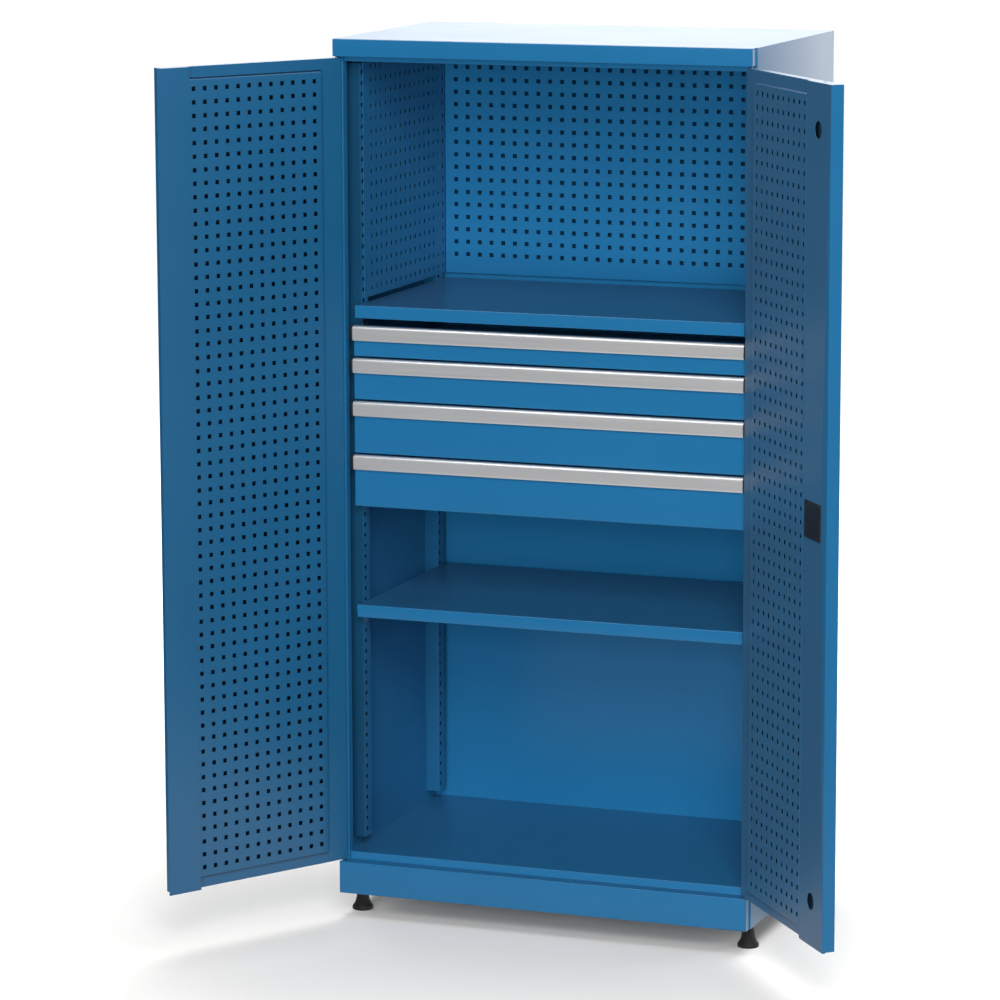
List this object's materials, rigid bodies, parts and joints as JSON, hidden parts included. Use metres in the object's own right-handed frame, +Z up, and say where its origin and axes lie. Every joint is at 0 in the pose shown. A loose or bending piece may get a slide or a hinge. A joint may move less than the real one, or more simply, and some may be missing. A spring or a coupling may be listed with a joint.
{
  "type": "materials cabinet",
  "caption": "Tall sheet-steel materials cabinet with perforated hinged doors, a perforated upper compartment, drawers on telescopic runners, shelves and levelling feet.",
  "frame": {"origin": "on the floor under the middle of the cabinet's footprint, doors left out", "axes": "+Z up, -Y towards the front where the doors open, +X to the viewer's right"},
  "size_m": [1.5629, 1.0552, 2.05],
  "materials": {
    "blue_paint": "semi-gloss powder coat",
    "handle_aluminium": "satin anodised",
    "zinc_steel": "bright zinc plate",
    "black_plastic": "fine grain",
    "black_rubber": "matt"
  },
  "bodies": {
    "carcass": {"cabinet_runners": "zinc_steel", "floor_panel": "blue_paint", "foot_plates": "zinc_steel", "front_rail": "blue_paint", "hinge_pins": "zinc_steel", "left_front_upright": "blue_paint", "left_perforated_panel": "blue_paint", "left_rear_upright": "blue_paint", "left_side_panel": "blue_paint", "levelling_feet": "black_rubber", "lower_shelf": "blue_paint", "perforated_back_panel": "blue_paint", "plinth": "blue_paint", "rear_panel": "blue_paint", "right_front_upright": "blue_paint", "right_perforated_panel": "blue_paint", "right_rear_upright": "blue_paint", "right_side_panel": "blue_paint", "shelf_hooks": "zinc_steel", "top_cap": "blue_paint", "upper_shelf": "blue_paint"},
    "left_door": {"left_door_overlap_strip": "blue_paint", "left_door_panel": "blue_paint", "left_door_skin": "blue_paint", "left_door_stile": "blue_paint"},
    "right_door": {"lock_case": "black_plastic", "right_door_panel": "blue_paint", "right_door_skin": "blue_paint", "right_door_stile": "blue_paint"},
    "drawer_1": {"drawer_1_box": "blue_paint", "drawer_1_front": "blue_paint", "drawer_1_handle": "handle_aluminium", "drawer_1_handle_caps": "black_plastic", "drawer_1_runners": "zinc_steel"},
    "runner_1": {"runner_1_middle": "zinc_steel"},
    "drawer_2": {"drawer_2_box": "blue_paint", "drawer_2_front": "blue_paint", "drawer_2_handle": "handle_aluminium", "drawer_2_handle_caps": "black_plastic", "drawer_2_runners": "zinc_steel"},
    "runner_2": {"runner_2_middle": "zinc_steel"},
    "drawer_3": {"drawer_3_box": "blue_paint", "drawer_3_front": "blue_paint", "drawer_3_handle": "handle_aluminium", "drawer_3_handle_caps": "black_plastic", "drawer_3_runners": "zinc_steel"},
    "runner_3": {"runner_3_middle": "zinc_steel"},
    "drawer_4": {"drawer_4_box": "blue_paint", "drawer_4_front": "blue_paint", "drawer_4_handle": "handle_aluminium", "drawer_4_handle_caps": "black_plastic", "drawer_4_runners": "zinc_steel"},
    "runner_4": {"runner_4_middle": "zinc_steel"},
    "lock_handle": {"lock_handle": "black_plastic"},
    "upper_lock_rod": {"upper_lock_rod": "zinc_steel"},
    "lower_lock_rod": {"lower_lock_rod": "zinc_steel"}
  },
  "joints": [
    {"name": "left_door_hinge", "type": "hinge", "parent": "carcass", "child": "left_door", "pos_m": [-0.4915, -0.3005, 1.072], "axis": [0, 0, -1], "range_deg": [-120.93, 54]},
    {"name": "right_door_hinge", "type": "hinge", "parent": "carcass", "child": "right_door", "pos_m": [0.4915, -0.3005, 1.072], "axis": [0, 0, 1], "range_deg": [-129.01, 46]},
    {"name": "drawer_1_slide", "type": "slide", "parent": "carcass", "child": "drawer_1", "axis": [0, -1, 0], "range_m": [0, 0.45]},
    {"name": "runner_1_slide", "type": "slide", "parent": "carcass", "child": "runner_1", "axis": [0, -1, 0], "range_m": [0, 0.225]},
    {"name": "drawer_2_slide", "type": "slide", "parent": "carcass", "child": "drawer_2", "axis": [0, -1, 0], "range_m": [0, 0.45]},
    {"name": "runner_2_slide", "type": "slide", "parent": "carcass", "child": "runner_2", "axis": [0, -1, 0], "range_m": [0, 0.225]},
    {"name": "drawer_3_slide", "type": "slide", "parent": "carcass", "child": "drawer_3", "axis": [0, -1, 0], "range_m": [0, 0.45]},
    {"name": "runner_3_slide", "type": "slide", "parent": "carcass", "child": "runner_3", "axis": [0, -1, 0], "range_m": [0, 0.225]},
    {"name": "drawer_4_slide", "type": "slide", "parent": "carcass", "child": "drawer_4", "axis": [0, -1, 0], "range_m": [0, 0.45]},
    {"name": "runner_4_slide", "type": "slide", "parent": "carcass", "child": "runner_4", "axis": [0, -1, 0], "range_m": [0, 0.225]},
    {"name": "lock_turn", "type": "hinge", "parent": "right_door", "child": "lock_handle", "pos_m": [0.76142, -0.61464, 1.072], "axis": [-0.777, -0.6295, 0], "range_deg": [0, 90]},
    {"name": "upper_rod_slide", "type": "slide", "parent": "right_door", "child": "upper_lock_rod", "axis": [0, 0, 1], "range_m": [0, 0.014]},
    {"name": "lower_rod_slide", "type": "slide", "parent": "right_door", "child": "lower_lock_rod", "axis": [0, 0, -1], "range_m": [0, 0.014]}
  ],
  "couplings": [
    {"joint": "runner_1_slide", "follows": "drawer_1_slide", "ratio": 0.5},
    {"joint": "runner_2_slide", "follows": "drawer_2_slide", "ratio": 0.5},
    {"joint": "runner_3_slide", "follows": "drawer_3_slide", "ratio": 0.5},
    {"joint": "runner_4_slide", "follows": "drawer_4_slide", "ratio": 0.5},
    {"joint": "upper_rod_slide", "follows": "lock_turn", "m_per_rad": 0.0089126},
    {"joint": "lower_rod_slide", "follows": "lock_turn", "m_per_rad": 0.0089126}
  ]
}
